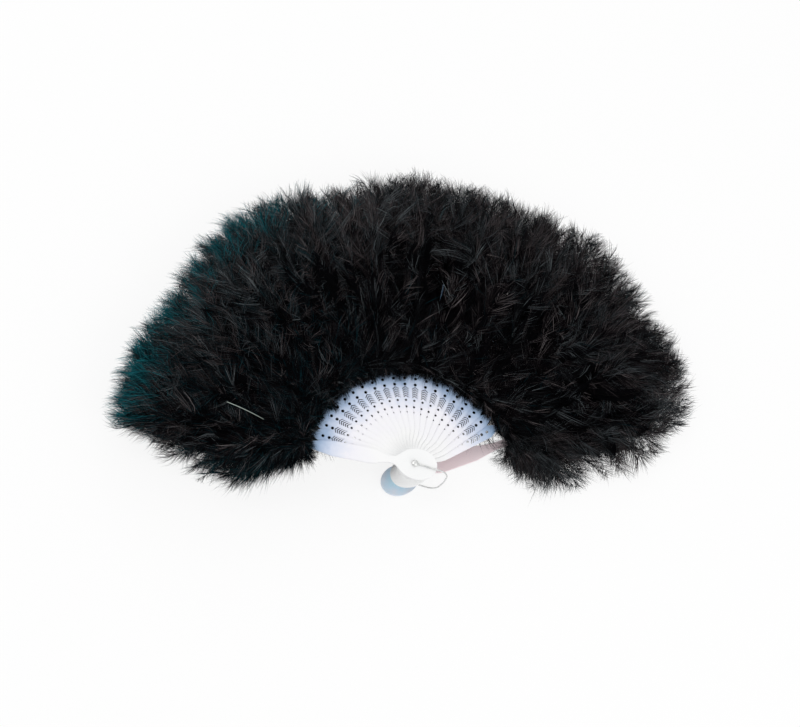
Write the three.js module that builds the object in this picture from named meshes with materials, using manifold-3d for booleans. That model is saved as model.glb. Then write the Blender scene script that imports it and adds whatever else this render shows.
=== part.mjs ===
import * as THREE from 'three';
import { mergeVertices } from 'three/addons/utils/BufferGeometryUtils.js';
import Module from 'manifold-3d';

// A folding feather fan: two plain guards and a row of pierced sticks turn on one rivet, and each
// carries a tuft of soft plumes. A wire bail hangs on the rivet's ends. Lengths are millimetres,
// with +Z up. The fan lies open on its feathers at z = 0, the rivet stands on the Z axis, and the
// feathers point towards +Y.

const wasm = await Module();
wasm.setup();

// Spread: the guards stand half the opening to either side of +Y
const stickCount = 20;
const openingDegrees = 150;

// Gap between pieces that turn on each other, or that lie side by side
const clearance = 0.3;

// Rivet
const pinDiameter = 2.5;
const rivetHeadDiameter = 4.6;
const rivetHeadThickness = 1;

// The pin is longer than the stack of sticks: the rear guard drops by this slack below them
const rivetSlack = 22;

// Bail of round wire, hanging on the rivet's ends. Its legs run level past the heads, then draw
// together by the shoulder's drop, and its outer run bows out a little.
const wireDiameter = 1.3;
const bailReach = 32;
const bailBow = 1.2;
const bailLevelRun = 26;
const bailDraw = 8.5;
const bailCornerRadius = 4;
const bailDegrees = -21.5;

// Pierced sticks, along the blade from the rivet
const stickThickness = 1;
const stick = {
  headReach: 16, headWidth: 25, headLength: 28,
  neckAt: 19, neckWidth: 5.2, wideAt: 38, width: 11.5,
  shoulderAt: 82, shoulderRise: 9, ribWidth: 3.8, tipAt: 185, tipWidth: 2.6,
};

// Plain guards
const guardThickness = 2.2;
const guard = {
  headReach: 19.5, headWidth: 27, headLength: 32,
  neckAt: 20, neckWidth: 6, wideAt: 40, width: 13,
  shoulderAt: 70, shoulderRise: 19, ribWidth: 6.6, tipAt: 192, tipWidth: 5,
};

// Pierced pattern of a stick: round holes, placed as shares of the way to its shoulder, and a band
// of slots bent like an arrow head between the third hole and the fourth
const smallHole = 1.5;
const mediumHole = 2;
const largeHole = 2.7;
const holeAtShares = [0.61, 0.67, 0.741, 0.916, 0.983];
const holeDiameters = [smallHole, mediumHole, mediumHole, largeHole, largeHole];
const chevronCount = 5;
const chevronMargin = 0.5;
const chevronWidth = 6;
const chevronRise = 2.2;
const chevronSlot = 0.9;

// Tufts of plumes. They start a setback past the sticks' shoulders, and reach this far from the rivet
// at even steps of the spread, from the front guard to the rear guard
const tuftSetback = 4;
const tuftReaches = [259, 263, 257, 270, 279, 266, 281, 279, 283, 292, 279, 284];
const tuftCrown = 15;
const tuftSwell = 2;
const tuftInnerRise = 8;
const tuftTipHeight = 14;
const tuftTipDepth = 20;
const tuftTipLevelShare = 0.45;
const tuftInnerLevelShare = 0.6;
// Where the tuft's outline turns, as shares of the way from its inner end to its tip
const bottomStartShare = 0.07;
const bottomEndShare = 0.84;
const roundTipShare = 0.965;
const topTurnShares = [0.76, 0.5, 0.16];
const topHeightShares = [0.84, 1, 1.02];
// The two outer tufts spread past their guards, and get shorter and flatter and droop there
const frontOuter = { degrees: [4, 8, 13], reachShares: [0.93, 0.78, 0.6] };
const rearOuter = { degrees: [7, 13, 20], reachShares: [0.9, 0.79, 0.63] };
const outerHeightShares = [1, 0.85, 0.5];
const outerLevelShares = [1, 0.94, 0.78];

// Smoothness of the round stretches
const holeSides = 8;
const pivotSides = 12;
const curveSteps = 4;
const wireSides = 6;
const bailSteps = 44;
const eyeSides = 16;
const rivetSides = 20;

const bladeCount = stickCount + 2;
const bladeStep = THREE.MathUtils.degToRad(openingDegrees) / (bladeCount - 1);
const wireRadius = wireDiameter / 2;
const pinRadius = pinDiameter / 2;
const pivotHoleRadius = pinRadius + clearance;
const stickPitch = stickThickness + clearance;
const tuftInnerRadius = stick.shoulderAt + tuftSetback;

// The stack on the rivet, from the table up
const lowEyeLevel = rivetHeadThickness + clearance + wireRadius;
const rearGuardLevel = lowEyeLevel + wireRadius + clearance;
const firstStickLevel = rearGuardLevel + guardThickness + rivetSlack + clearance;
const frontGuardLevel = firstStickLevel + stickCount * stickPitch;
const highEyeLevel = frontGuardLevel + guardThickness + clearance + wireRadius;
const topHeadLevel = highEyeLevel + wireRadius + clearance;

const plastic = new THREE.MeshStandardMaterial({ color: '#f3f4f6', roughness: 0.35, metalness: 0 });
const plume = new THREE.MeshStandardMaterial({ color: '#0e0e10', roughness: 0.85, metalness: 0 });
const nickel = new THREE.MeshStandardMaterial({ color: '#b4b5b6', roughness: 0.3, metalness: 1 });

// A closed geometry as a solid for a cut or a join
function toSolid(geometry) {
  const bare = geometry.clone();
  for (const name of ['normal', 'uv']) bare.deleteAttribute(name);
  const merged = mergeVertices(bare);
  return new wasm.Manifold(new wasm.Mesh({
    numProp: 3,
    vertProperties: new Float32Array(merged.attributes.position.array),
    triVerts: new Uint32Array(merged.index.array),
  }));
}

function toGeometry(solid) {
  const mesh = solid.getMesh();
  const geometry = new THREE.BufferGeometry();
  geometry.setAttribute('position', new THREE.BufferAttribute(mesh.vertProperties, mesh.numProp));
  geometry.setIndex(new THREE.BufferAttribute(mesh.triVerts, 1));
  return geometry;
}

function extruded(shape, depth, level) {
  const geometry = new THREE.ExtrudeGeometry(shape, { depth, bevelEnabled: false, steps: 1 });
  geometry.translate(0, 0, level);
  return geometry;
}

function regularHole(radius, centreY, sides) {
  const points = [];
  for (let i = 0; i < sides; i += 1) {
    const turn = (i / sides) * 2 * Math.PI;
    points.push(new THREE.Vector2(radius * Math.cos(turn), centreY + radius * Math.sin(turn)));
  }
  return new THREE.Path(points);
}

// One side's points with their mirror image, as a closed outline
function mirrored(side) {
  const other = side.filter((point) => point.x > 0).map((point) => new THREE.Vector2(-point.x, point.y));
  return [...side, ...other.reverse()];
}

// A blade lies along +Y: an oval head behind the rivet, a neck, a broad leaf, and a rib
function bladeOutline(size) {
  const headCentre = size.headLength / 2 - size.headReach;
  const headTop = headCentre + size.headLength / 2;
  const side = new THREE.Path();
  side.moveTo(0, -size.headReach);
  side.absellipse(0, headCentre, size.headWidth / 2, size.headLength / 2, -Math.PI / 2, 0, false);
  side.bezierCurveTo(
    size.headWidth / 2, headTop,
    size.neckWidth / 2, headTop,
    size.neckWidth / 2, size.neckAt,
  );
  side.bezierCurveTo(
    size.neckWidth / 2, (size.neckAt + size.wideAt) / 2,
    size.width / 2, (size.neckAt + size.wideAt) / 2,
    size.width / 2, size.wideAt,
  );
  const points = mergePoints(side.getPoints(curveSteps));
  points.push(new THREE.Vector2(size.width / 2, size.shoulderAt));
  points.push(new THREE.Vector2(size.ribWidth / 2, size.shoulderAt + size.shoulderRise));
  points.push(new THREE.Vector2(size.tipWidth / 2, size.tipAt));
  return mirrored(points);
}

// Drops points that repeat the one before them
function mergePoints(points) {
  return points.filter((point, i) => i === 0 || !point.equals(points[i - 1]));
}

function chevron(at) {
  const half = chevronWidth / 2;
  const outline = [
    [0, at + chevronRise], [half, at], [half, at + chevronSlot],
    [0, at + chevronRise + chevronSlot], [-half, at + chevronSlot], [-half, at],
  ];
  return new THREE.Path(outline.map(([x, y]) => new THREE.Vector2(x, y)));
}

function piercing(size) {
  const places = holeAtShares.map((share) => share * size.shoulderAt);
  const cuts = places.map((at, i) => regularHole(holeDiameters[i] / 2, at, holeSides));
  const start = places[2] + mediumHole / 2 + chevronMargin;
  const end = places[3] - largeHole / 2 - chevronMargin;
  const pitch = (end - start - chevronRise - chevronSlot) / (chevronCount - 1);
  for (let i = 0; i < chevronCount; i += 1) cuts.push(chevron(start + i * pitch));
  return cuts;
}

function bladeGeometry(size, thickness, level, pierced) {
  const shape = new THREE.Shape(bladeOutline(size));
  shape.holes.push(regularHole(pivotHoleRadius, 0, pivotSides));
  if (pierced) shape.holes.push(...piercing(size));
  return extruded(shape, thickness, level);
}

// The space that a blade's shoulder and rib take inside its tuft, with the clearance around them
function ribSpace(size, thickness, level) {
  const run = size.shoulderRise;
  const sideways = clearance * Math.hypot(run, (size.width - size.ribWidth) / 2) / run;
  const side = [
    new THREE.Vector2(size.width / 2 + sideways, size.shoulderAt),
    new THREE.Vector2(size.ribWidth / 2 + sideways, size.shoulderAt + run),
    new THREE.Vector2(size.tipWidth / 2 + clearance, size.tipAt + clearance),
  ];
  return extruded(new THREE.Shape(mirrored(side)), thickness + 2 * clearance, level - clearance);
}

// A tuft's outline seen from the side, as distance from the rivet and height over the table
function tuftProfile(ribLevel, reach, heightShare, levelShare) {
  const along = (share) => tuftInnerRadius + share * (reach - tuftInnerRadius);
  const level = ribLevel * levelShare;
  const crown = tuftCrown * heightShare;
  const tip = tuftTipLevelShare * level * heightShare + tuftTipHeight;
  const top = topTurnShares.map((share, i) => [along(share), level + crown * topHeightShares[i]]);
  return [
    [along(bottomStartShare), 0],
    [along(bottomEndShare), 0],
    [along(roundTipShare), tip - tuftTipDepth / 2],
    [reach, tip],
    [along(roundTipShare), tip + tuftTipDepth / 2 * heightShare],
    ...top,
    [tuftInnerRadius, level + tuftInnerRise],
    [tuftInnerRadius, level * tuftInnerLevelShare],
  ];
}

// A sector of the feather fringe: side outlines at rising angles, joined into one closed skin
function tuftGeometry(level, columns) {
  const positions = [];
  const faces = [];
  const profiles = columns.map(({ reach, heightShare, levelShare, swell }) => (
    tuftProfile(level, reach, heightShare, levelShare).map(([r, z]) => [r, z > level ? z + swell : z])
  ));
  const count = profiles[0].length;
  columns.forEach(({ angle, inset }, i) => {
    for (const [r, z] of profiles[i]) {
      positions.push(r * Math.sin(angle) - inset * Math.cos(angle));
      positions.push(r * Math.cos(angle) + inset * Math.sin(angle));
      positions.push(z);
    }
  });
  for (let i = 0; i + 1 < columns.length; i += 1) {
    for (let j = 0; j < count; j += 1) {
      const next = (j + 1) % count;
      const [a, b] = [i * count + j, i * count + next];
      faces.push(a, b, b + count, a, b + count, a + count);
    }
  }
  const last = (columns.length - 1) * count;
  for (const [i, start] of [[0, 0], [columns.length - 1, last]]) {
    const contour = profiles[i].map(([r, z]) => new THREE.Vector2(r, z));
    for (const face of THREE.ShapeUtils.triangulateShape(contour, [])) {
      const corners = face.map((corner) => corner + start);
      faces.push(...(start ? corners : corners.reverse()));
    }
  }
  const geometry = new THREE.BufferGeometry();
  geometry.setAttribute('position', new THREE.Float32BufferAttribute(positions, 3));
  geometry.setIndex(faces);
  return geometry;
}

// side is -1 for the tuft that spreads past the left guard, 1 past the right guard, else 0
function tuftColumns(reach, side) {
  const half = bladeStep / 2;
  const inset = clearance / 2;
  const inner = { reach, heightShare: 1, levelShare: 1, swell: 0 };
  const middle = { ...inner, angle: 0, inset: 0, swell: tuftSwell };
  if (side === 0) {
    return [{ ...inner, angle: -half, inset: -inset }, middle, { ...inner, angle: half, inset }];
  }
  const spread = side < 0 ? frontOuter : rearOuter;
  const outer = spread.degrees.map((degrees, i) => ({
    angle: side * THREE.MathUtils.degToRad(degrees),
    inset: 0,
    reach: reach * spread.reachShares[i],
    heightShare: outerHeightShares[i],
    levelShare: outerLevelShares[i],
    swell: 0,
  }));
  const columns = [{ ...inner, angle: -side * half, inset: -side * inset }, middle, ...outer];
  return side > 0 ? columns : columns.reverse();
}

function tuft(size, thickness, level, reach, side) {
  const body = toSolid(tuftGeometry(level + thickness / 2, tuftColumns(reach, side)));
  return toGeometry(body.subtract(toSolid(ribSpace(size, thickness, level))));
}

// The pin with its two heads, one turned profile that starts and ends on the axis
function rivetGeometry() {
  const headRadius = rivetHeadDiameter / 2;
  const crownRadius = headRadius - rivetHeadThickness / 2;
  const topEnd = topHeadLevel + rivetHeadThickness;
  const profile = [
    [0, 0], [crownRadius, 0], [headRadius, rivetHeadThickness / 2], [headRadius, rivetHeadThickness],
    [pinRadius, rivetHeadThickness], [pinRadius, topHeadLevel], [headRadius, topHeadLevel],
    [headRadius, topHeadLevel + rivetHeadThickness / 2], [crownRadius, topEnd], [0, topEnd],
  ];
  const geometry = new THREE.LatheGeometry(profile.map(([x, y]) => new THREE.Vector2(x, y)), rivetSides);
  return geometry.rotateX(Math.PI / 2);
}

// A route through the points, with each turn rounded off
function roundedRoute(points, radius) {
  const route = new THREE.CurvePath();
  let from = points[0];
  for (let i = 1; i + 1 < points.length; i += 1) {
    const turn = points[i];
    const before = turn.clone().add(points[i - 1].clone().sub(turn).setLength(radius));
    const after = turn.clone().add(points[i + 1].clone().sub(turn).setLength(radius));
    route.add(new THREE.LineCurve3(from, before));
    route.add(new THREE.QuadraticBezierCurve3(before, turn, after));
    from = after;
  }
  route.add(new THREE.LineCurve3(from, points[points.length - 1]));
  return route;
}

// Wire from one eye, level past the guard's head, slanting in, down, and back to the other eye
function bailGeometry() {
  const eyeRadius = pivotHoleRadius + wireRadius;
  const shoulder = bailReach - bailBow;
  const point = (x, z) => new THREE.Vector3(x, 0, z);
  const route = roundedRoute([
    point(eyeRadius, highEyeLevel),
    point(bailLevelRun, highEyeLevel),
    point(shoulder, highEyeLevel - bailDraw),
    point(bailReach, (lowEyeLevel + highEyeLevel) / 2),
    point(shoulder, lowEyeLevel + bailDraw),
    point(bailLevelRun, lowEyeLevel),
    point(eyeRadius, lowEyeLevel),
  ], bailCornerRadius);
  const section = new THREE.Shape(regularHole(wireRadius, 0, wireSides).getPoints());
  let wire = toSolid(new THREE.ExtrudeGeometry(section, { extrudePath: route, steps: bailSteps }));
  for (const eyeLevel of [lowEyeLevel, highEyeLevel]) {
    const eye = new THREE.TorusGeometry(eyeRadius, wireRadius, wireSides, eyeSides);
    wire = wire.add(toSolid(eye.translate(0, 0, eyeLevel)));
  }
  return toGeometry(wire);
}

// How far the plumes reach at a share of the spread
function reachAt(share) {
  const place = share * (tuftReaches.length - 1);
  const before = Math.min(Math.floor(place), tuftReaches.length - 2);
  return THREE.MathUtils.lerp(tuftReaches[before], tuftReaches[before + 1], place - before);
}

const fan = new THREE.Group();

function addPiece(name, geometry, material, turn) {
  const mesh = new THREE.Mesh(geometry, material);
  mesh.name = name;
  mesh.rotation.z = turn;
  fan.add(mesh);
}

// Blades from the front guard on the left, the highest, to the rear guard on the right
for (let i = 0; i < bladeCount; i += 1) {
  const isFront = i === 0;
  const isRear = i === bladeCount - 1;
  const isGuard = isFront || isRear;
  const name = isFront ? 'front_guard' : isRear ? 'rear_guard' : `stick_${String(i).padStart(2, '0')}`;
  const size = isGuard ? guard : stick;
  const thickness = isGuard ? guardThickness : stickThickness;
  const stickLevel = firstStickLevel + (stickCount - i) * stickPitch;
  const level = isFront ? frontGuardLevel : isRear ? rearGuardLevel : stickLevel;
  const turn = ((bladeCount - 1) / 2 - i) * bladeStep;
  const reach = reachAt(i / (bladeCount - 1));
  const side = isFront ? -1 : isRear ? 1 : 0;
  addPiece(name, bladeGeometry(size, thickness, level, !isGuard), plastic, turn);
  addPiece(`${name}_tuft`, tuft(size, thickness, level, reach, side), plume, turn);
}

addPiece('rivet', rivetGeometry(), nickel, 0);
addPiece('bail', bailGeometry(), nickel, THREE.MathUtils.degToRad(bailDegrees));

export default fan;
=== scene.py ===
import math
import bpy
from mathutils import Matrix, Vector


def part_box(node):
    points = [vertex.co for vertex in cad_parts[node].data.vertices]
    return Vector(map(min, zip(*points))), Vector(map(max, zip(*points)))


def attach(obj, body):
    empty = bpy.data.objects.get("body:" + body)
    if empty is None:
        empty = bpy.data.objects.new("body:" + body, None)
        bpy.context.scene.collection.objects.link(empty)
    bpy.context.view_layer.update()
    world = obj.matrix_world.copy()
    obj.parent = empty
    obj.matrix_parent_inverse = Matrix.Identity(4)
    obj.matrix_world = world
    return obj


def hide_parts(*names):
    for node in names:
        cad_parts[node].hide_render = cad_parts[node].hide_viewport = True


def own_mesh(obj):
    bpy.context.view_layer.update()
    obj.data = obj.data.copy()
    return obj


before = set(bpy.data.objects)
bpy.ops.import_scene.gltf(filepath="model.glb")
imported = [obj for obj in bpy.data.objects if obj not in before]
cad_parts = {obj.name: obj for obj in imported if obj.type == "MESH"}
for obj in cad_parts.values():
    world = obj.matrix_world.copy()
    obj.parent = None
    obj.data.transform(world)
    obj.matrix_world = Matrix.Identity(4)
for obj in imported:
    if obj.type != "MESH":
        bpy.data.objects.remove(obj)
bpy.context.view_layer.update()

from types import SimpleNamespace

import bpy
import numpy as np
from mathutils import Matrix, Vector
from mathutils.geometry import interpolate_bezier

# Camera. The open fan lies flat and is seen through a long lens from high over its left guard's
# side, turned so that the handle points down, and the stack on the rivet shows below its top.
MM = 0.001
scene = bpy.context.scene
view_height, view_side, view_roll = (math.radians(a) for a in (68, -38.5, 33))
lens, sensor = 85, 36
view_width = 697 * MM
aim = Vector((6.5, 98.3, 25)) * MM
view = (Matrix.Rotation(view_side, 3, "Z") @ Matrix.Rotation(math.pi / 2 - view_height, 3, "X")
        @ Matrix.Rotation(view_roll, 3, "Z"))
bpy.ops.object.camera_add(
    location=aim + view.col[2] * view_width * lens / sensor, rotation=view.to_euler())
camera = bpy.context.object
camera.data.lens = lens
camera.data.sensor_width = sensor
scene.camera = camera
scene.view_settings.view_transform = "Standard"


def linear(colour):
    """An sRGB hex colour as the linear numbers that shaders take."""
    parts = [int(colour[i:i + 2], 16) / 255 for i in (1, 3, 5)]
    return [c / 12.92 if c <= 0.04045 else ((c + 0.055) / 1.055) ** 2.4 for c in parts] + [1]


def add_node(tree, kind, settings=(), **inputs):
    """Adds a node, sets its properties, and sets or links its inputs by name or number."""
    node = tree.nodes.new(kind)
    for name, value in dict(settings).items():
        setattr(node, name, value)
    for name, value in inputs.items():
        socket = node.inputs[int(name[1:]) if name[1:].isdigit() else name.replace("_", " ")]
        if isinstance(value, bpy.types.NodeSocket):
            tree.links.new(value, socket)
        else:
            socket.default_value = value
    return node


def new_material(name, **shader):
    """A named material with a Principled shader. Gives it, its node tree and the shader."""
    material = bpy.data.materials.new(name)
    material.use_nodes = True
    tree = material.node_tree
    tree.nodes.clear()
    surface = add_node(tree, "ShaderNodeBsdfPrincipled", **shader)
    add_node(tree, "ShaderNodeOutputMaterial", Surface=surface.outputs["BSDF"])
    return material, tree, surface


def colour_ramp(tree, value, stops):
    """A ramp through (position, hex colour) stops, read at a value. Gives its colour."""
    node = add_node(tree, "ShaderNodeValToRGB", Fac=value)
    elements = node.color_ramp.elements
    while len(elements) < len(stops):
        elements.new(0.5)
    for element, (position, colour) in zip(elements, stops):
        element.position = position
        element.color = linear(colour)
    return node.outputs["Color"]


def new_piece(name, mesh, material, slot, body, *nodes):
    """An object for a finished mesh, riding on a body in place of its CAD nodes."""
    mesh.materials.clear()
    mesh.materials.append(material)
    piece = bpy.data.objects.new(name, mesh)
    scene.collection.objects.link(piece)
    if nodes:
        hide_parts(*nodes)
    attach(piece, body)
    return piece


# Blades. Twenty pierced sticks and two plain guards, moulded in pearl-white plastic, are stacked on
# one rivet. Each has a round head about the pin, a thin neck, a broad leaf, and a narrow rib that
# runs on under the plumes. The rear guard hangs at the pin's lower end.
stick_count, spread_degrees = 20, 150
blade_names = (["front_guard"] + [f"stick_{i + 1:02d}" for i in range(stick_count)]
               + ["rear_guard"])
blade_step = math.radians(spread_degrees) / (len(blade_names) - 1)
edge_round, touching = 0.2 * MM, 1e-6
# A blade's sizes are in millimetres, and its places are distances from the rivet
stick = dict(head_reach=16, head_width=25, head_length=28, neck_at=19, neck_width=5.2,
             wide_at=38, width=11.5, shoulder_at=82, shoulder_rise=9, rib_width=3.8,
             tip_at=185, tip_width=2.6)
guard = dict(head_reach=19.5, head_width=27, head_length=32, neck_at=20, neck_width=6,
             wide_at=40, width=13, shoulder_at=70, shoulder_rise=19, rib_width=6.6,
             tip_at=192, tip_width=5)
hole_at_shares = (0.61, 0.67, 0.741, 0.916, 0.983)
hole_places = [share * stick["shoulder_at"] for share in hole_at_shares]
hole_widths = (1.5, 2.0, 2.0, 2.7, 2.7)
pivot_hole_radius = 1.55
chevron_count, chevron_width, chevron_rise, chevron_slot, chevron_margin = 5, 6, 2.2, 0.9, 0.5
head_steps, bend_steps, hole_sides, pivot_sides = 16, 14, 20, 32


def turn_of(index):
    """How far blade number index is turned from +Y about the rivet."""
    return ((len(blade_names) - 1) / 2 - index) * blade_step


def blade_outline(size):
    """The blade's outline, along +Y from its head to its rib's tip, in millimetres."""
    half = {name: value / 2 for name, value in size.items()}
    middle = half["head_length"] - size["head_reach"]
    top = middle + half["head_length"]
    bend = half["neck_at"] + half["wide_at"]
    side = []
    for i in range(head_steps + 1):
        turn = math.pi / 2 * (i / head_steps - 1)
        side.append((half["head_width"] * math.cos(turn),
                     middle + half["head_length"] * math.sin(turn)))
    stretches = [
        [(half["head_width"], middle), (half["head_width"], top),
         (half["neck_width"], top), (half["neck_width"], size["neck_at"])],
        [(half["neck_width"], size["neck_at"]), (half["neck_width"], bend),
         (half["width"], bend), (half["width"], size["wide_at"])],
    ]
    for stretch in stretches:
        a, b, c, d = (Vector((x, y, 0)) for x, y in stretch)
        side += [(p.x, p.y) for p in interpolate_bezier(a, b, c, d, bend_steps)[1:]]
    side.append((half["width"], size["shoulder_at"]))
    side.append((half["rib_width"], size["shoulder_at"] + size["shoulder_rise"]))
    side.append((half["tip_width"], size["tip_at"]))
    return side + [(-x, y) for x, y in reversed(side) if x > touching]


def round_hole(radius, at, sides=hole_sides):
    """The outline of a round hole at a distance along the blade, in millimetres."""
    turns = [-2 * math.pi * i / sides for i in range(sides)]
    return [(radius * math.cos(t), at + radius * math.sin(t)) for t in turns]


def piercing():
    """The round holes of a stick, and its band of slots bent like an arrow head."""
    cuts = [round_hole(width / 2, at) for width, at in zip(hole_widths, hole_places)]
    before, after = 2, 3
    start = hole_places[before] + hole_widths[before] / 2 + chevron_margin
    end = hole_places[after] - hole_widths[after] / 2 - chevron_margin
    pitch = (end - start - chevron_rise - chevron_slot) / (chevron_count - 1)
    half = chevron_width / 2
    for i in range(chevron_count):
        at = start + i * pitch
        cuts.append([(-half, at), (-half, at + chevron_slot), (0, at + chevron_rise + chevron_slot),
                     (half, at + chevron_slot), (half, at), (0, at + chevron_rise)])
    return cuts


def moulding(name, outlines, thickness):
    """A flat moulding with rounded edges, from a filled curve, lying on z = 0."""
    curve = bpy.data.curves.new(name, "CURVE")
    curve.dimensions = "2D"
    curve.fill_mode = "BOTH"
    curve.extrude = thickness / 2 - edge_round
    curve.bevel_depth = edge_round
    curve.bevel_resolution = 1
    curve.offset = -edge_round
    for outline in outlines:
        line = curve.splines.new("POLY")
        line.points.add(len(outline) - 1)
        line.use_cyclic_u = True
        for point, (x, y) in zip(line.points, outline):
            point.co = (x * MM, y * MM, 0, 1)
    return converted(name, curve, (0, 0, thickness / 2))


def selected(name, data):
    """An object for a mesh or curve, as the only one selected."""
    piece = bpy.data.objects.new(name, data)
    scene.collection.objects.link(piece)
    bpy.ops.object.select_all(action="DESELECT")
    bpy.context.view_layer.objects.active = piece
    piece.select_set(True)
    return piece


def converted(name, curve, shift=(0, 0, 0)):
    """A curve as a mesh, moved by a shift."""
    selected(name, curve)
    bpy.ops.object.convert(target="MESH")
    mesh = bpy.context.object.data
    mesh.transform(Matrix.Translation(shift))
    bpy.data.objects.remove(bpy.context.object)
    return mesh


# The plastic's flow marks, how far they shift its tints of painted shade, and the grain of the mould's
# skin
flow_mark, shade_tint_drift, mould_skin = 24 * MM, 34 * MM, 0.8 * MM
# Where along the blade, from the rivet, the ramp of painted shade tints begins and ends
shade_tint_from, shade_tint_to = 17 * MM, 117 * MM


def pearl(name, stops):
    """Injection-moulded polystyrene with pearl pigment: satin, with tints along the blade that are
    painted shade, shifted by slow flow marks, and the fine orange-peel skin of a worn mould."""
    material, tree, surface = new_material(name, Roughness=0.34, IOR=1.59, Coat_Weight=0.1,
                                           Coat_Roughness=0.25)
    place = add_node(tree, "ShaderNodeTexCoord").outputs["Object"]
    flat = add_node(tree, "ShaderNodeVectorMath", {"operation": "MULTIPLY"},
                    _0=place, _1=(1, 1, 0)).outputs["Vector"]
    along = add_node(tree, "ShaderNodeVectorMath", {"operation": "LENGTH"},
                     _0=flat).outputs["Value"]
    flow = add_node(tree, "ShaderNodeTexNoise", Vector=place, Scale=1 / flow_mark, Detail=4,
                    Roughness=0.6).outputs["Fac"]
    # The tints along the blade are painted shade, shifted a little by the flow marks
    drift = add_node(tree, "ShaderNodeMath", {"operation": "MULTIPLY_ADD"},
                     _0=flow, _1=shade_tint_drift, _2=along).outputs[0]
    share = add_node(tree, "ShaderNodeMapRange", Value=drift, From_Min=shade_tint_from,
                     From_Max=shade_tint_to).outputs["Result"]
    tree.links.new(colour_ramp(tree, share, stops), surface.inputs["Base Color"])
    skin = add_node(tree, "ShaderNodeTexNoise", Vector=place, Scale=1 / mould_skin, Detail=2)
    bump = add_node(tree, "ShaderNodeBump", Strength=0.15, Distance=0.05 * MM,
                    Height=skin.outputs["Fac"])
    tree.links.new(bump.outputs["Normal"], surface.inputs["Normal"])
    rough = add_node(tree, "ShaderNodeMapRange", Value=flow, From_Min=0.3, From_Max=0.7,
                     To_Min=0.28, To_Max=0.42)
    tree.links.new(rough.outputs["Result"], surface.inputs["Roughness"])
    return material


# The upper blades are nearly white, and their bluish darkening towards the plumes is painted shade.
# The rear guard's tints are painted shade from the stack above it: a blue head, a grey neck and a
# pinkish leaf.
pearl_white = pearl("pearl_white_polystyrene_painted_shade", [
    (0.0, "#f3f4f4"), (0.3, "#f6f6f6"), (0.55, "#f1f0f6"), (0.69, "#d3dbed"), (0.81, "#9db4d2"),
    (0.94, "#6c8eb0")])
pearl_painted_shade = pearl("pearl_polystyrene_painted_shade", [
    (0.0, "#bdf2ff"), (0.1, "#cbe6f8"), (0.24, "#eae2e8"), (0.4, "#fce6e9"), (0.9, "#f8e6ea")])

hole = round_hole(pivot_hole_radius, 0, pivot_sides)
stick_box, guard_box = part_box("stick_01"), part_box("front_guard")
stick_mesh = moulding("stick", [blade_outline(stick), hole] + piercing(),
                      stick_box[1].z - stick_box[0].z)
guard_mesh = moulding("guard", [blade_outline(guard), hole], guard_box[1].z - guard_box[0].z)
for i, name in enumerate(blade_names):
    mesh = (guard_mesh if name.endswith("guard") else stick_mesh).copy()
    mesh.transform(Matrix.Translation((0, 0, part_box(name)[0].z)))
    mesh.transform(Matrix.Rotation(turn_of(i), 4, "Z"))
    # The rear guard takes the copy of the plastic with painted shade tints
    new_piece(f"{name}_moulding", mesh, pearl_painted_shade if name == "rear_guard" else pearl_white,
              "moulded_plastic", name, name)


# Rivet. A pin of nickel-plated steel goes through every blade, with a low domed head formed at
# each end. It is longer than the stack, so the rear guard hangs below the other blades.
pin_radius, rivet_head_radius, head_height = 1.25 * MM, 2.3 * MM, 1 * MM
# Each head has a straight edge, this share of its height, and a dome over it
edge_share, dome_steps, round_steps = 0.35, 6, 32
sharp_angle = math.radians(40)
dull_patch, scratch_gap = 4 * MM, 0.3 * MM


def turned(name, profile):
    """A profile of (radius, height) points that starts and ends on the axis, spun about it."""
    mesh = bpy.data.meshes.new(name)
    mesh.from_pydata([(r, 0, z) for r, z in profile], [(i, i + 1) for i in range(len(profile) - 1)],
                     [])
    piece = selected(name, mesh)
    bpy.ops.object.mode_set(mode="EDIT")
    bpy.ops.mesh.select_all(action="SELECT")
    bpy.ops.mesh.spin(steps=round_steps, angle=2 * math.pi, center=(0, 0, 0), axis=(0, 0, 1))
    bpy.ops.mesh.select_all(action="SELECT")
    bpy.ops.mesh.remove_doubles(threshold=touching)
    bpy.ops.mesh.normals_make_consistent(inside=False)
    bpy.ops.object.mode_set(mode="OBJECT")
    bpy.ops.object.shade_smooth_by_angle(angle=sharp_angle)
    bpy.data.objects.remove(piece)
    return mesh


nickel, tree, surface = new_material("nickel_plated_steel", Metallic=1, Roughness=0.3)
place = add_node(tree, "ShaderNodeTexCoord").outputs["Object"]
# Plating dulls unevenly, with fine scratches 0.3 mm apart left by drawing and forming.
dull = add_node(tree, "ShaderNodeTexNoise", Vector=place, Scale=1 / dull_patch, Detail=3)
tree.links.new(colour_ramp(tree, dull.outputs["Fac"], [(0.3, "#c2c4c4"), (0.7, "#e6e6e4")]),
               surface.inputs["Base Color"])
worn = add_node(tree, "ShaderNodeMapRange", Value=dull.outputs["Fac"], To_Min=0.2, To_Max=0.45)
tree.links.new(worn.outputs["Result"], surface.inputs["Roughness"])
scratches = add_node(tree, "ShaderNodeTexNoise", Vector=place, Scale=1 / scratch_gap, Detail=2)
bump = add_node(tree, "ShaderNodeBump", Strength=0.2, Distance=0.02 * MM,
                Height=scratches.outputs["Fac"])
tree.links.new(bump.outputs["Normal"], surface.inputs["Normal"])

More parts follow.
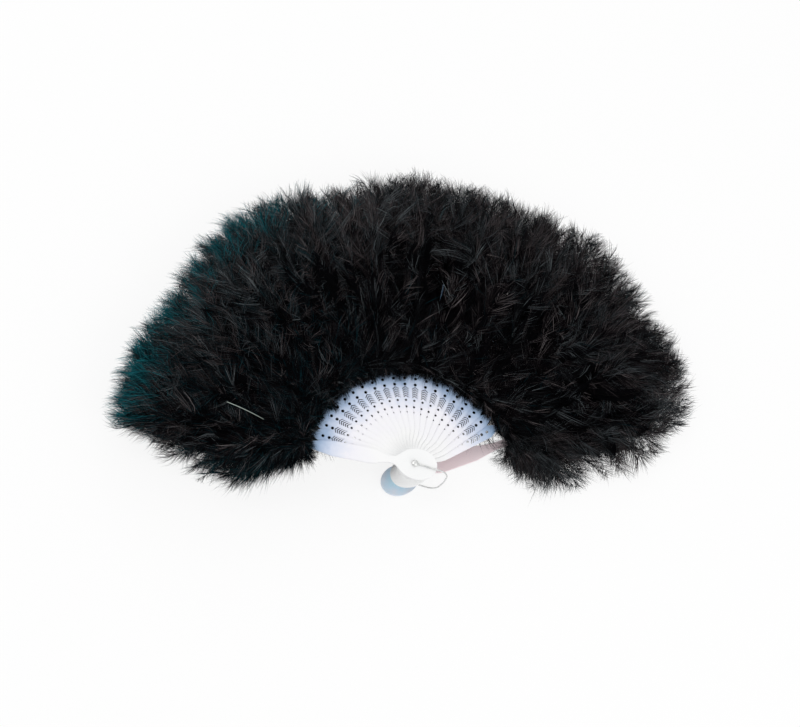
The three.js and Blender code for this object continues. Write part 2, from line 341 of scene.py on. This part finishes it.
bottom, top = (corner.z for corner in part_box("rivet"))
dome = [(rivet_head_radius * math.cos(a),
         head_height * (edge_share + (1 - edge_share) * math.sin(a)))
        for a in (math.pi / 2 * i / dome_steps for i in range(dome_steps))]
under = [(0, bottom)] + [(r, bottom + head_height - h) for r, h in reversed(dome)]
over = [(r, top - head_height + h) for r, h in dome] + [(0, top)]
profile = (under + [(rivet_head_radius, bottom + head_height), (pin_radius, bottom + head_height),
           (pin_radius, top - head_height), (rivet_head_radius, top - head_height)] + over)
new_piece("rivet_pin", turned("rivet_pin", profile), nickel, "plated_wire", "rear_guard",
          "rivet")


# Bail. One length of nickel-plated wire, bent to a loop beside the heads, with an eye round each
# end of the pin. Its legs run level past the guards' heads and then draw together, and its outer
# run bows out a little.
wire_radius = 0.65 * MM
eye_radius = 2.2 * MM
bail_turn = math.radians(-21.5)
bail_reach, bail_shoulder, bail_level_run = 32 * MM, 30.8 * MM, 26 * MM
bail_draw, bail_corner = 8.5 * MM, 4 * MM
corner_steps, eye_steps = 8, 32
low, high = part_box("bail")
low_eye, high_eye = low.z + wire_radius, high.z - wire_radius
turns = [(eye_radius, high_eye), (bail_level_run, high_eye), (bail_shoulder, high_eye - bail_draw),
         (bail_reach, (low_eye + high_eye) / 2), (bail_shoulder, low_eye + bail_draw),
         (bail_level_run, low_eye), (eye_radius, low_eye)]
turns = [Vector((x, 0, z)) for x, z in turns]
route = [turns[0]]
for before, turn, after in zip(turns, turns[1:], turns[2:]):
    start = turn + (before - turn).normalized() * bail_corner
    end = turn + (after - turn).normalized() * bail_corner
    for i in range(corner_steps + 1):
        t = i / corner_steps
        route.append(start * (1 - t) ** 2 + turn * 2 * t * (1 - t) + end * t ** 2)
route.append(turns[-1])
curve = bpy.data.curves.new("bail_wire", "CURVE")
curve.dimensions = "3D"
curve.bevel_depth = wire_radius
curve.bevel_resolution = 5
curve.use_fill_caps = True
eyes = [[Vector((eye_radius * math.cos(a), eye_radius * math.sin(a), z))
         for a in (2 * math.pi * i / eye_steps for i in range(eye_steps))]
        for z in (low_eye, high_eye)]
for points, closed in ((route, False), (eyes[0], True), (eyes[1], True)):
    line = curve.splines.new("POLY")
    line.points.add(len(points) - 1)
    line.use_cyclic_u = closed
    for point, co in zip(line.points, points):
        point.co = (*co, 1)
mesh = converted("bail_wire", curve)
mesh.transform(Matrix.Rotation(bail_turn, 4, "Z"))
mesh.shade_smooth()
new_piece("bail_wire", mesh, nickel, "plated_wire", "bail", "bail")


# Plumes. Soft black marabou down is glued along each rib, on both faces, its quills pointing out.
# Each plume is a bent quill with long loose barbs, which cling together in small locks. The barbs
# are drawn about three times as wide as real ones, so that they show.
plumes_a_stick, plumes_a_guard = 80, 208
locks_a_plume, barbs_a_lock = 25, 7
barb_width, quill_width, quill_taper = 0.27 * MM, 0.5 * MM, 0.8
# A barb runs through four points, with two corners at each but the last, which is its tip
barb_steps = (0.0, 0.38, 0.72, 1.0)
barb_corners = 2 * len(barb_steps) - 1
rib_from, rib_to, leaf_end = 86 * MM, 184 * MM, 82 * MM
# How far the fringe reaches, at even steps from the front guard to the rear one
reaches = np.array([260, 265, 258, 273, 281, 264, 282, 280, 285, 297, 280, 292]) * MM
# Where the down ends over the leaves, by the blade's level, and how far the rear rib lies bare
inner_levels = np.array([4, 28, 34, 47, 54]) * MM
inner_ends = np.array([103, 90, 83, 84, 90]) * MM
bare_rib_end = 122 * MM
# How far a guard's plumes spread past it, at distances from the rivet
spread_at = np.array([80, 93, 115, 150, 190, 220, 245, 270, 290]) * MM
front_spread = np.array([3, 6, 20, 49, 42, 28, 15, 7, 4]) * MM
rear_spread = np.array([6, 26, 56, 68, 70, 70, 61, 44, 24]) * MM
# They are thin by the leaves and full from the second distance on
thin_at, thin_share, thin_width_share = np.array([108, 138]) * MM, 0.3, 0.6
# One plume of the first stick has lost its barbs. Its pale quill shows between two points, bows
# up by its rise, and narrows from one half width to the other
bare_quill, bare_quill_rise = ((-9, 133, 74), (-4.5, 166, 75)), 2 * MM
bare_quill_from, bare_quill_to = 0.26, 0.14


def unit(v):
    """Vectors brought to a length of one."""
    return v / np.maximum(np.linalg.norm(v, axis=-1, keepdims=True), 1e-12)


def between(span, share):
    """A length at a share of a (least, most) span that is given in millimetres."""
    return (span[0] + (span[1] - span[0]) * share) * MM


# The fringe rises from the leaves to a crown over its blade, and its tips sink to the table
crown, crown_start, crown_edge = 20 * MM, 7 * MM, 8 * MM
crown_at_shares = np.array([0, 0.16, 0.45, 0.76, 0.965, 1.0])
crown_low_share, crown_late_share = 0.76, 0.8
tip_level_share, tip_level_rise = 0.45, 22 * MM


def fringe_top(r, level, reach):
    """Height of the fringe over the table at distance r from the rivet."""
    tip = tip_level_share * level + tip_level_rise
    heights = np.array([level + crown_start, level + crown_low_share * crown, level + crown,
                        level + crown_late_share * crown, tip, tip - crown_edge])
    return np.interp(r, rib_from + crown_at_shares * (reach - rib_from), heights)


# Past each bound a point keeps this share of how far it went. Past the table it keeps nothing
reach_give, inner_give, top_give = 0.4, 0.25, 0.25
top_room, table_gap, table_scatter = 2 * MM, 0.3 * MM, (0.5, 3)


def held(points, level, reach, nearest, side, edge, give):
    """Points kept short of the fringe's reach and its side edge, off the leaves, and over the
    table. Past the edge they keep a share, give, of how far they went."""
    r = np.hypot(points[..., 0], points[..., 1])
    z = points[..., 2]
    if side:
        past = side * points[..., 0] - np.interp(r, spread_at, edge)
        points = points - np.maximum(past, 0)[..., None] * np.array([(1 - give) * side, 0, 0])
        r = np.hypot(points[..., 0], points[..., 1])
    kept = np.where(r > reach, reach + (r - reach) * reach_give, r)
    kept = np.where(kept < nearest, nearest - (nearest - kept) * inner_give, kept)
    top = fringe_top(kept, level, reach) + top_room
    z = np.where(z > top, top + (z - top) * top_give, z)
    scaled = points[..., :2] * (kept / np.maximum(r, 1e-9))[..., None]
    return np.concatenate([scaled, np.maximum(z, table_gap)[..., None]], -1)


# Of every twenty plumes, by number, eight reach the rim, four are short covers on the rib, of which
# one lies back over the leaf's end, three lie under the middle sticks, and the rest end between
plume_kinds, rim_kinds = 20, (0, 2, 6, 9, 11, 12, 14, 18)
cover_kinds, over_kind, under_kinds = (3, 5, 10, 15), 5, (7, 13, 17)
# Their lengths, and where they end along the rib, as (least, most) spans in millimetres
plume_length, cover_length = (55, 93), (24, 40)
cover_tip, under_tip = (98, 138), (62, 88)
middle_tip_least, middle_tip_margin, middle_tip_power = 118, 22, 0.8
tip_margin, rim_depth, over_tip_depth = 12 * MM, 14 * MM, 4 * MM
# How they lie over and under their blade, in the same way
root_gap, over_tip_gap, cover_tip_gap = (1, 3), (1.5, 3.5), (3, 10)
under_root_level, under_tip_level = (5, 18), (3, 17)
under_nearest, under_run, over_run, over_lap = 60 * MM, 28 * MM, 13 * MM, 7 * MM
root_setback, lowest_root, lowest_tip, plume_arch = 3 * MM, 2 * MM, 3 * MM, 5 * MM
upper_tip_share, lower_tip_share, rise_power = 0.3, 0.75, 1.5
rim_sway, middle_sway = 4, 6
sector_share, least_run_share = 0.8, 0.2
above_share, guard_above_share = 0.66, 0.5
# A guard's plumes take places from -1, towards the fan, to 1. From this place on they go past it
past_from, past_power, kept_share = -0.45, 0.7, 0.2
edge_inset, least_spread = 9 * MM, 3 * MM


def plan_plumes(rng, level, reach, count, side, has_under):
    """Lays out the plumes of a blade along +Y: their kinds, roots, tips and bends."""
    kind = np.arange(count) % plume_kinds
    under, cover = np.isin(kind, under_kinds) & has_under, np.isin(kind, cover_kinds)
    over = (kind == over_kind) & (side <= 0)
    rim = np.isin(kind, rim_kinds)
    inner = np.interp(level, inner_levels, inner_ends)
    nearest = np.where(under, under_nearest, np.where(over, inner - over_lap, inner))
    # Ten rows are drawn and six are used, so that each later draw keeps its place
    tip_draw, length_draw, face_draw, gap_draw, rise_draw, arch_draw = rng.random((10, count))[1:7]
    slot = np.empty(count)
    for group in (rim, ~rim):
        ranks = rng.permutation(int(group.sum()))
        slot[group] = (ranks + 0.5) / len(ranks) * 2 - 1
        tip_draw[group] = rng.permutation(ranks + tip_draw[group]) / len(ranks)
    tip_r = between((middle_tip_least, reach / MM - middle_tip_margin), tip_draw ** middle_tip_power)
    tip_r = np.where(rim, reach - tip_margin - rim_depth * tip_draw ** 2, tip_r)
    tip_r = np.where(cover, between(cover_tip, tip_draw), tip_r)
    tip_r = np.where(over, inner + over_tip_depth * tip_draw, tip_r)
    tip_r = np.where(under, between(under_tip, tip_draw), tip_r)
    length = np.where(cover, between(cover_length, length_draw), between(plume_length, length_draw))
    tip_x = tip_r * blade_step * sector_share * slot
    past = np.zeros(count, bool)
    spread = front_spread if side < 0 else rear_spread
    if side:
        # Most of a guard's plumes spread past it, so they are shared out by the spread's width
        beyond = np.maximum(spread - edge_inset, least_spread)
        filled = np.cumsum(beyond * np.gradient(spread_at) * spread_at
                           * np.interp(spread_at, thin_at, [thin_share, 1]))
        wide = np.interp(tip_draw, filled / filled[-1], np.minimum(spread_at, reach - tip_margin))
        past = (slot > past_from) & ~over & ~cover
        tip_r = np.where(past, wide, tip_r)
        shares = (np.maximum(slot - past_from, 0) / (1 - past_from)) ** past_power
        tip_x = side * np.where(past, np.interp(tip_r, spread_at, beyond) * shares,
                                (slot - past_from) * kept_share * tip_r)
        nearest = np.where(past, leaf_end, nearest)
    run = np.sqrt(np.maximum(length ** 2 - tip_x ** 2, (least_run_share * length) ** 2))
    root_r = np.clip(tip_r - run, np.maximum(rib_from, inner + root_setback), rib_to)
    root_r = np.where(under, tip_r + under_run, root_r)
    root_r = np.where(over, tip_r + over_run, root_r)
    above = ((face_draw < (guard_above_share if side else above_share)) | cover) & ~under
    # The rear guard's rib lies bare for a while past its leaf
    above &= ~((side > 0) & (root_r < bare_rib_end))
    gap = between(root_gap, gap_draw)
    root_z = np.where(above, level + gap, np.maximum(level - gap, lowest_root))
    root_z = np.where(under, between(under_root_level, gap_draw), root_z)
    top = fringe_top(tip_r, level, reach) - lowest_tip
    share = np.where(above, 1 - upper_tip_share * rise_draw ** rise_power, lower_tip_share * rise_draw)
    tip_z = lowest_tip + share * (top - lowest_tip)
    tip_z = np.where(cover, level + between(cover_tip_gap, rise_draw), tip_z)
    tip_z = np.where(over, level + between(over_tip_gap, rise_draw), tip_z)
    tip_z = np.where(under, between(under_tip_level, rise_draw), tip_z)
    arch = np.where(above, plume_arch * arch_draw, 0)
    sway = np.where(rim, rim_sway, middle_sway) * rng.normal(0, 1, count)
    return SimpleNamespace(
        level=level, reach=reach, side=side, spread=spread, count=count, nearest=nearest,
        under=under, cover=cover, over=over, past=past, above=above, root_r=root_r, root_z=root_z,
        tip_r=tip_r, tip_x=tip_x, tip_z=tip_z, arch=arch, sway=np.where(over, 0, sway) * MM)


# A quill leaves its root along the rib and bends to its side on the way
bend_power = 1.3


def quill_at(plumes, s, k):
    """Points of the quills numbered k at shares s of their length."""
    x = plumes.tip_x[k] * s ** bend_power + plumes.sway[k] * np.sin(math.pi * s)
    r = plumes.root_r[k] + (plumes.tip_r[k] - plumes.root_r[k]) * s
    z = plumes.root_z[k] + (plumes.tip_z[k] - plumes.root_z[k]) * s + plumes.arch[k] * 4 * s * (1 - s)
    return np.stack([x, np.sqrt(np.maximum(r * r - x * x, 1e-6)), z], -1)


# Dark leaves about each quill, which no light gets through, stand in for the dense down at its core,
# and their near-black is painted shade. There are two crossed leaves a plume, this far to each side of
# it, and turned by these angles from level
spine_shares = np.linspace(0, 0.76, 8)
over_mat, cover_mat, upper_mat, lower_mat = 0.4, 2.5, 6, 10
past_mats = np.array([0.6, 7]) * MM
mat_turns, mat_scatter = (0.5, -0.7), (0.7, 1.2)
mat_start, mat_roundness = 0.1, 0.7
mat_inset, least_mat_edge, mat_give = 13 * MM, 2 * MM, 0.05


def mat_shade_strips(rng, plumes, spine, level_side):
    """The dark core of a blade's plumes, near-black as painted shade, as strips about the spines of
    their quills.
    """
    flow = np.gradient(spine, axis=1)
    width = np.where(plumes.over, over_mat, np.where(plumes.cover, cover_mat, np.where(
        plumes.above, upper_mat, lower_mat))) * MM
    width = np.where(plumes.past, np.interp(plumes.tip_r, thin_at, past_mats), width)
    width *= rng.uniform(*mat_scatter, plumes.count)
    shares = mat_start + (1 - mat_start) * spine_shares / spine_shares[-1]
    half = (width[:, None] * np.sin(math.pi * shares) ** mat_roundness)[..., None]
    shade_mats = []
    for turn in mat_turns:
        across = math.cos(turn) * level_side + math.sin(turn) * unit(np.cross(level_side, flow))
        shade_mats.append(np.stack([spine - across * half, spine + across * half], 2))
    return held(np.concatenate(shade_mats), plumes.level, plumes.reach,
                np.tile(plumes.nearest, 2)[:, None, None], plumes.side,
                np.maximum(plumes.spread - mat_inset, least_mat_edge), mat_give)


def quill_strips(spine, level_side, bare):
    """The quills of a blade's plumes, narrower towards their tips, and a bare one if it has it."""
    half = (quill_width / 2 * (1 - quill_taper * spine_shares))[None, :, None]
    quills = np.stack([spine - level_side * half, spine + level_side * half], 2)
    if bare:
        ends = np.array(bare) * MM
        shares = np.linspace(0, 1, spine_shares.size)
        line = ends[0] + (ends[1] - ends[0]) * shares[:, None]
        line[:, 2] += bare_quill_rise * np.sin(math.pi * shares)
        half = np.linspace(bare_quill_from, bare_quill_to, shares.size)[:, None] * MM
        half = half * np.array([1, 0, 0])
        quills = np.concatenate([quills, np.stack([line - half, line + half], 1)[None]])
    return quills


# Locks leave both sides of the quill, and their barbs curl towards its tip. They open less and are
# shorter near the tip, at these shares of the quill, in degrees and millimetres
lock_crowding, lock_scatter, barb_scatter = 0.72, 0.02, 0.018
plume_tilt, lock_tilt = 0.45, 0.5
opening_at, opening_degrees, under_opening = [0, 0.6, 1], [84, 66, 40], 1.3
opening_scatter, length_scatter, barb_length_scatter = (0.75, 1.2), (0.8, 1.1), (0.6, 1.1)
length_at, lock_lengths, over_length_share = [0, 0.2, 0.6, 1], np.array([13, 20, 20, 11]), 0.5
plume_curl, lock_curl, barb_curl, ahead_curl, droop = 0.32, 0.18, 0.07, 0.4, 0.1
lock_facing, barb_facing = 0.4, 0.25
loose_at, loose_turns = [0.6, 0.95], [0.14, 0.4]
# Barb widths, of which one in four is bolder, and how much narrower the tips are
barb_boldness, barb_taper = [1.0, 1.0, 1.0, 1.7], 0.6
barb_inset, barb_give = 10 * MM, 0.65
least_place, step_along, last_step = 0.01, 0.03, 1.02


def barb_strips(rng, plumes):
    """The barbs of a blade's plumes as tapered ribbons, with the numbers of their plumes and locks,
    and the points where they leave the quill."""
    count = plumes.count
    lock_count = count * locks_a_plume
    plume = np.repeat(np.arange(count), locks_a_plume)
    place = np.tile((np.arange(locks_a_plume) + 0.5) / locks_a_plume, count)
    place = np.clip(place + rng.normal(0, lock_scatter, lock_count), least_place, 1) ** lock_crowding
    tilt = rng.normal(0, plume_tilt, count)[plume] + rng.normal(0, lock_tilt, lock_count)
    tilt += np.where(rng.random(lock_count) < 0.5, 0, math.pi)
    opening = np.radians(np.interp(place, opening_at, opening_degrees))
    opening *= rng.uniform(*opening_scatter, lock_count)
    opening = np.where(plumes.under[plume], opening * under_opening, opening)
    length = np.interp(place, length_at, lock_lengths * MM)
    length *= (rng.uniform(*length_scatter, lock_count)
               * np.where(plumes.over, over_length_share, 1)[plume])
    curls = (rng.normal(0, plume_curl, (count, 3))[plume] + rng.normal(0, lock_curl, (lock_count, 3))
             - np.array([0, 0, droop]))
    facings = rng.normal(0, lock_facing, (lock_count, 3))
    loose = np.interp(place, loose_at, loose_turns)

    k = np.repeat(plume, barbs_a_lock)
    lock = np.repeat(np.arange(lock_count), barbs_a_lock)
    s = np.clip(place[lock] + rng.normal(0, barb_scatter, k.size), least_place, 1)
    base = quill_at(plumes, s, k)
    ahead = unit(quill_at(plumes, np.minimum(s + step_along, last_step), k)
                 - quill_at(plumes, np.maximum(s - step_along, 0), k))
    flat_side = unit(np.cross(ahead, np.array([0, 0, 1.0])))
    up = np.cross(flat_side, ahead)
    turn = tilt[lock] + rng.normal(0, 1, k.size) * loose[lock]
    out = np.cos(turn)[:, None] * flat_side + np.sin(turn)[:, None] * up
    opened = opening[lock] + rng.normal(0, 1, k.size) * loose[lock]
    start = np.cos(opened)[:, None] * ahead + np.sin(opened)[:, None] * out
    barb_length = length[lock] * rng.uniform(*barb_length_scatter, k.size)
    curl = ahead_curl * ahead + curls[lock] + rng.normal(0, barb_curl, (k.size, 3))
    path = [held(base + barb_length[:, None] * (t * start + t * t * curl), plumes.level,
                 plumes.reach, plumes.nearest[k], plumes.side, plumes.spread - barb_inset, barb_give)
            for t in barb_steps]
    wide = barb_width * rng.choice(barb_boldness, k.size)[:, None]
    thin = np.interp(plumes.tip_r, thin_at, [thin_width_share, 1])
    wide = wide * np.where(plumes.past, thin, 1)[k, None]
    facing = unit(up + facings[lock] + rng.normal(0, barb_facing, (k.size, 3)))
    rows = []
    for t, centre, before, after in zip(barb_steps, path, path[:1] + path, path[1:] + path[-1:]):
        across = unit(np.cross(after - before, facing))
        half = wide / 2 * (1 - barb_taper * t)
        rows += [centre - across * half, centre + across * half]
    return np.stack(rows[:-2] + path[-1:], 1), k, lock, base


# The dye map runs across from cool black to its paler locks, the same again warmer, then teal, deepest
# first, then the quills, and its paler greys are painted highlights. The dark leaves about the quills,
# whose near-black is painted shade, the quills and the bare quill have these places in it, and a barb
# spans a little of it from side to side
mat_shade_tones, quill_tones, bare_quill_tones = (0.01, 0.02), (0.95, 0.97), (0.985, 0.995)
barb_map_width = 0.003
# A paler band within the rim fades out inwards, and it is painted light on the outer fringe. The top
# blades have the least of it, and on the lower sticks it stops short of the rim
lit_band_levels, lit_band_shares = np.array([10, 27, 33, 46, 54]) * MM, [1, 0.75, 1, 1.05, 0.4]
rim_levels, rim_lit_band = np.array([10, 28, 34, 42]) * MM, [1, 0.3, 0.3, 1.1]
lit_band_from_rim, lit_band_fall = np.array([10, 60, 100, 150]) * MM, [0.88, 0.42, 0]
base_tone, lit_band_tone, tone_ends = 0.135, 0.29, (0.02, 0.79)
plume_tones, lock_tones, barb_tones = 0.08, 0.11, 0.06
# Some locks are pale all over, but for a quarter of their barbs. They are painted highlights, and more
# of them lie in the band of painted light
pale_share, lit_band_pale_share, pale_barb_share = 0.2, 0.55, 0.75
pale_span, pale_scatter = (0.46, 0.7), 0.04
# Two plumes in five are warmer
warm_share, warm_start, cool_start = 0.4, 0.41, 0.005
# The rim is teal on the upper blades, and not on the lower ones. Along a guard's own edge the teal
# is darker and thinner
teal_levels = np.array([41, 46]) * MM
teal_depth, dye_plume_scatter, dye_barb_scatter = 30 * MM, (0.1, 1.7), (0.8, 1.2)
least_teal, rim_teal, inner_teal = 0.01, 0.9, 0.1
rim_teal_span, inner_teal_span = (0.84, 0.925), (0.83, 0.86)
edge_depth, edge_from, edge_teal, edge_darker = 12 * MM, 125 * MM, 0.6, 0.02
rear_edge_weight = 1.6


def barb_dye_and_light(rng, plumes, k, lock, base):
    """Each barb's place across the dye map, by how near the rim it grows, which paints light on the
    outer fringe, and by chance.
    """
    count, lock_count = plumes.count, plumes.count * locks_a_plume
    teal_here = float(np.interp(plumes.level, teal_levels, [0, 1]))
    base_r = np.hypot(base[:, 0], base[:, 1])
    edge = np.interp(base_r, spread_at, plumes.spread)
    from_rim = plumes.reach - base_r
    if plumes.side > 0:
        from_rim = np.minimum(from_rim, rear_edge_weight * (edge - base[:, 0]))
    at_rim = np.interp(plumes.level, rim_levels, rim_lit_band)
    # The band of painted light near the rim
    lit_band = (float(np.interp(plumes.level, lit_band_levels, lit_band_shares))
             * np.interp(from_rim, lit_band_from_rim, [at_rim] + lit_band_fall))
    tone = (base_tone + lit_band_tone * lit_band + rng.normal(0, plume_tones, count)[k]
            + rng.normal(0, lock_tones, lock_count)[lock] + rng.normal(0, barb_tones, k.size))
    # Pale locks are painted highlights
    pale = rng.random(lock_count)[lock] < pale_share + lit_band_pale_share * lit_band
    pale &= rng.random(k.size) < pale_barb_share
    tone = np.where(pale, rng.uniform(*pale_span, lock_count)[lock]
                    + rng.normal(0, pale_scatter, k.size), tone)
    tone = np.clip(tone, *tone_ends)
    dyed = rng.uniform(*dye_plume_scatter, count)[k] * rng.uniform(*dye_barb_scatter, k.size)
    at_edge = from_rim < teal_depth * dyed
    teal = least_teal + teal_here * np.where(at_edge, rim_teal, inner_teal)
    dye_tone = np.where(at_edge, rng.uniform(*rim_teal_span, k.size),
                        rng.uniform(*inner_teal_span, k.size))
    if plumes.side:
        along = edge - plumes.side * base[:, 0] < edge_depth * dyed
        along &= ~at_edge & (base_r > edge_from)
        teal = np.where(along, edge_teal * teal_here, teal)
        dye_tone = np.where(along, dye_tone + edge_darker, dye_tone)
    warm = (rng.random(count) < warm_share)[k]
    start = np.where(warm, warm_start, cool_start)
    return np.where(rng.random(k.size) < teal, dye_tone, tone / 2 + start)


def plume_mesh(name, rng, level, reach, count, side, has_under, bare=None):
    """Quills and barbs of one blade's plumes, along +Y, as tapered ribbons."""
    plumes = plan_plumes(rng, level, reach, count, side, has_under)
    numbers = np.repeat(np.arange(count)[:, None], spine_shares.size, 1)
    spine = quill_at(plumes, np.broadcast_to(spine_shares, numbers.shape), numbers)
    level_side = unit(np.cross(np.gradient(spine, axis=1), np.array([0, 0, 1.0])))
    shade_mats = mat_shade_strips(rng, plumes, spine, level_side)
    quills = quill_strips(spine, level_side, bare)
    barbs, k, lock, base = barb_strips(rng, plumes)

    # Across the dye map by tone, and along it from root to tip
    across = barb_dye_and_light(rng, plumes, k, lock, base)[:, None] + barb_map_width * np.array(
        [-1, 1, -1, 1, -1, 1, 0])
    along = np.broadcast_to(np.repeat(barb_steps, 2)[:-1], (k.size, barb_corners))
    maps = [np.stack([across, along], -1).reshape(-1, 2)]
    for tones, strips in ((mat_shade_tones, len(shade_mats)), (quill_tones, count),
                          (bare_quill_tones, len(quills) - count)):
        one = np.stack(np.broadcast_arrays(np.array(tones), spine_shares[:, None]), -1)
        maps.append(np.broadcast_to(one, (strips, spine_shares.size, 2, 2)).reshape(-1, 2))

    corners = np.concatenate([barbs.reshape(-1, 3), shade_mats.reshape(-1, 3), quills.reshape(-1, 3)])
    lowest = table_gap * rng.uniform(*table_scatter, len(corners))
    corners[:, 2] = np.maximum(corners[:, 2], lowest)
    first = np.arange(k.size)[:, None] * barb_corners
    quads = (first[:, :, None] + np.array([[[0, 1, 3, 2], [2, 3, 5, 4]]])).reshape(-1, 4)
    tips = first + np.array([[4, 5, 6]])
    strips = np.arange(len(shade_mats) + len(quills))[:, None, None]
    links = np.arange(spine_shares.size - 1)[None, :, None] * 2 + np.array([[[0, 1, 3, 2]]])
    links = k.size * barb_corners + strips * spine_shares.size * 2 + links
    quads = np.concatenate([quads, links.reshape(-1, 4)])
    return ribbon_mesh(name, corners, quads, tips, np.concatenate(maps))


def ribbon_mesh(name, corners, quads, triangles, dye):
    """A mesh of many ribbons, with each corner's place in the dye map as its UV."""
    mesh = bpy.data.meshes.new(name)
    loops = np.concatenate([quads.ravel(), triangles.ravel()]).astype(np.int32)
    starts = np.concatenate([np.arange(len(quads)) * 4,
                             len(quads) * 4 + np.arange(len(triangles)) * 3])
    mesh.vertices.add(len(corners))
    mesh.vertices.foreach_set("co", corners.ravel().astype(np.float32))
    mesh.loops.add(len(loops))
    mesh.loops.foreach_set("vertex_index", loops)
    mesh.polygons.add(len(starts))
    mesh.polygons.foreach_set("loop_start", starts.astype(np.int32))
    layer = mesh.uv_layers.new(name="OFBake")
    layer.data.foreach_set("uv", dye[loops].ravel().astype(np.float32))
    mesh.update(calc_edges=True)
    mesh.validate()
    return mesh


# Dyed marabou down: black, with paler strands that are painted highlights, teal near the rim, and
# painted shade at each barb's root that turns to painted highlight towards its tip. It is too fine to
# shine, so its gloss is low, and the painted highlights take the place of its sheen.
down, tree, surface = new_material("dyed_marabou_down_painted_light", Roughness=0.6, Specular_IOR_Level=0.015)
dye = add_node(tree, "ShaderNodeSeparateXYZ",
               Vector=add_node(tree, "ShaderNodeUVMap", {"uv_map": "OFBake"}).outputs["UV"])
# The paler greys in each run are painted highlights
tones = colour_ramp(tree, dye.outputs["X"], [
    (0.0, "#010102"), (0.15, "#08090b"), (0.25, "#1c1e20"), (0.33, "#3d4144"), (0.4, "#6d7477"),
    (0.41, "#020102"), (0.56, "#0a080a"), (0.66, "#201d1e"), (0.74, "#464142"), (0.81, "#797273"),
    (0.83, "#04161b"), (0.87, "#0a3037"), (0.92, "#1f6a73"), (0.94, "#1c1917"), (0.975, "#2c2824"),
    (0.99, "#bccac2")])
# Painted shade at each barb's root and painted highlight towards its tip
root_to_tip_light = add_node(tree, "ShaderNodeMapRange", Value=dye.outputs["Y"], To_Min=0.5, To_Max=1.7)
lit_tones = add_node(tree, "ShaderNodeVectorMath", {"operation": "SCALE"}, _0=tones,
                 Scale=root_to_tip_light.outputs["Result"])
tree.links.new(lit_tones.outputs["Vector"], surface.inputs["Base Color"])

first_seed = 700
# The sticks near the guards have no plumes under them, where those would show past the leaves
under_sticks = range(3, 19)
for i, name in enumerate(blade_names):
    share = i / (len(blade_names) - 1)
    reach = float(np.interp(share, np.linspace(0, 1, reaches.size), reaches))
    low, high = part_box(name)
    level = (low.z + high.z) / 2
    side = {"front_guard": -1, "rear_guard": 1}.get(name, 0)
    mesh = plume_mesh(f"{name}_plumes", np.random.default_rng(first_seed + i), level, reach,
                      plumes_a_guard if side else plumes_a_stick, side, i in under_sticks,
                      bare_quill if i == 1 else None)
    mesh.transform(Matrix.Rotation(turn_of(i), 4, "Z"))
    piece = new_piece(f"{name}_plumes", mesh, down, "marabou", name, f"{name}_tuft")
    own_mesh(piece)


# Floor, backdrop and light. A white table stands in plain soft light from both sides and behind.
# It glows white to the camera, but for a share of its own shade, which keeps the fan's shadow.
table_size, glow_share, room_strength = 30, 0.85, 0.75
fan_middle = Vector((0, 0.12, 0))


def seen_by_camera(tree):
    """One for rays from the camera, also by way of a gloss or through a clear surface, else zero."""
    rays = add_node(tree, "ShaderNodeLightPath").outputs
    seen = rays["Is Camera Ray"]
    for kind in ("Is Glossy Ray", "Is Transmission Ray"):
        seen = add_node(tree, "ShaderNodeMath", {"operation": "MAXIMUM"},
                        _0=seen, _1=rays[kind]).outputs[0]
    return seen


bpy.ops.mesh.primitive_plane_add(size=table_size, location=(0, 0, 0))
floor = bpy.context.object
floor.name = "table_top"
paper = bpy.data.materials.new("white_paper")
paper.use_nodes = True
tree = paper.node_tree
tree.nodes.clear()
matt = add_node(tree, "ShaderNodeBsdfDiffuse", Color=linear("#f7f7f7"))
glow = add_node(tree, "ShaderNodeEmission", Color=(1, 1, 1, 1), Strength=1)
share = add_node(tree, "ShaderNodeMath", {"operation": "MULTIPLY"},
                 _0=seen_by_camera(tree), _1=glow_share)
mixed = add_node(tree, "ShaderNodeMixShader", Fac=share.outputs[0],
                 _1=matt.outputs[0], _2=glow.outputs[0])
add_node(tree, "ShaderNodeOutputMaterial", Surface=mixed.outputs[0])
floor.data.materials.append(paper)

world = bpy.data.worlds.new("studio")
scene.world = world
world.use_nodes = True
tree = world.node_tree
tree.nodes.clear()
room = add_node(tree, "ShaderNodeBackground", Color=(1, 1, 1, 1), Strength=room_strength)
white = add_node(tree, "ShaderNodeBackground", Color=(1, 1, 1, 1), Strength=1)
mixed = add_node(tree, "ShaderNodeMixShader", Fac=seen_by_camera(tree),
                 _1=room.outputs[0], _2=white.outputs[0])
add_node(tree, "ShaderNodeOutputWorld", Surface=mixed.outputs[0])

# Each lamp's place and size are in metres, and its power is in watts
for name, place, size, power in (
    ("key", (-0.8, 0.3, 1.5), 0.7, 4.5),
    ("fill", (0.7, -0.9, 1.1), 1.2, 5),
    ("back", (0.2, 1.4, 1.0), 1.0, 2),
):
    bpy.ops.object.light_add(type="AREA", location=place)
    lamp = bpy.context.object
    lamp.name = name
    lamp.data.size = size
    lamp.data.energy = power
    to_fan = fan_middle - Vector(place)
    lamp.rotation_euler = to_fan.to_track_quat("-Z", "Y").to_euler()
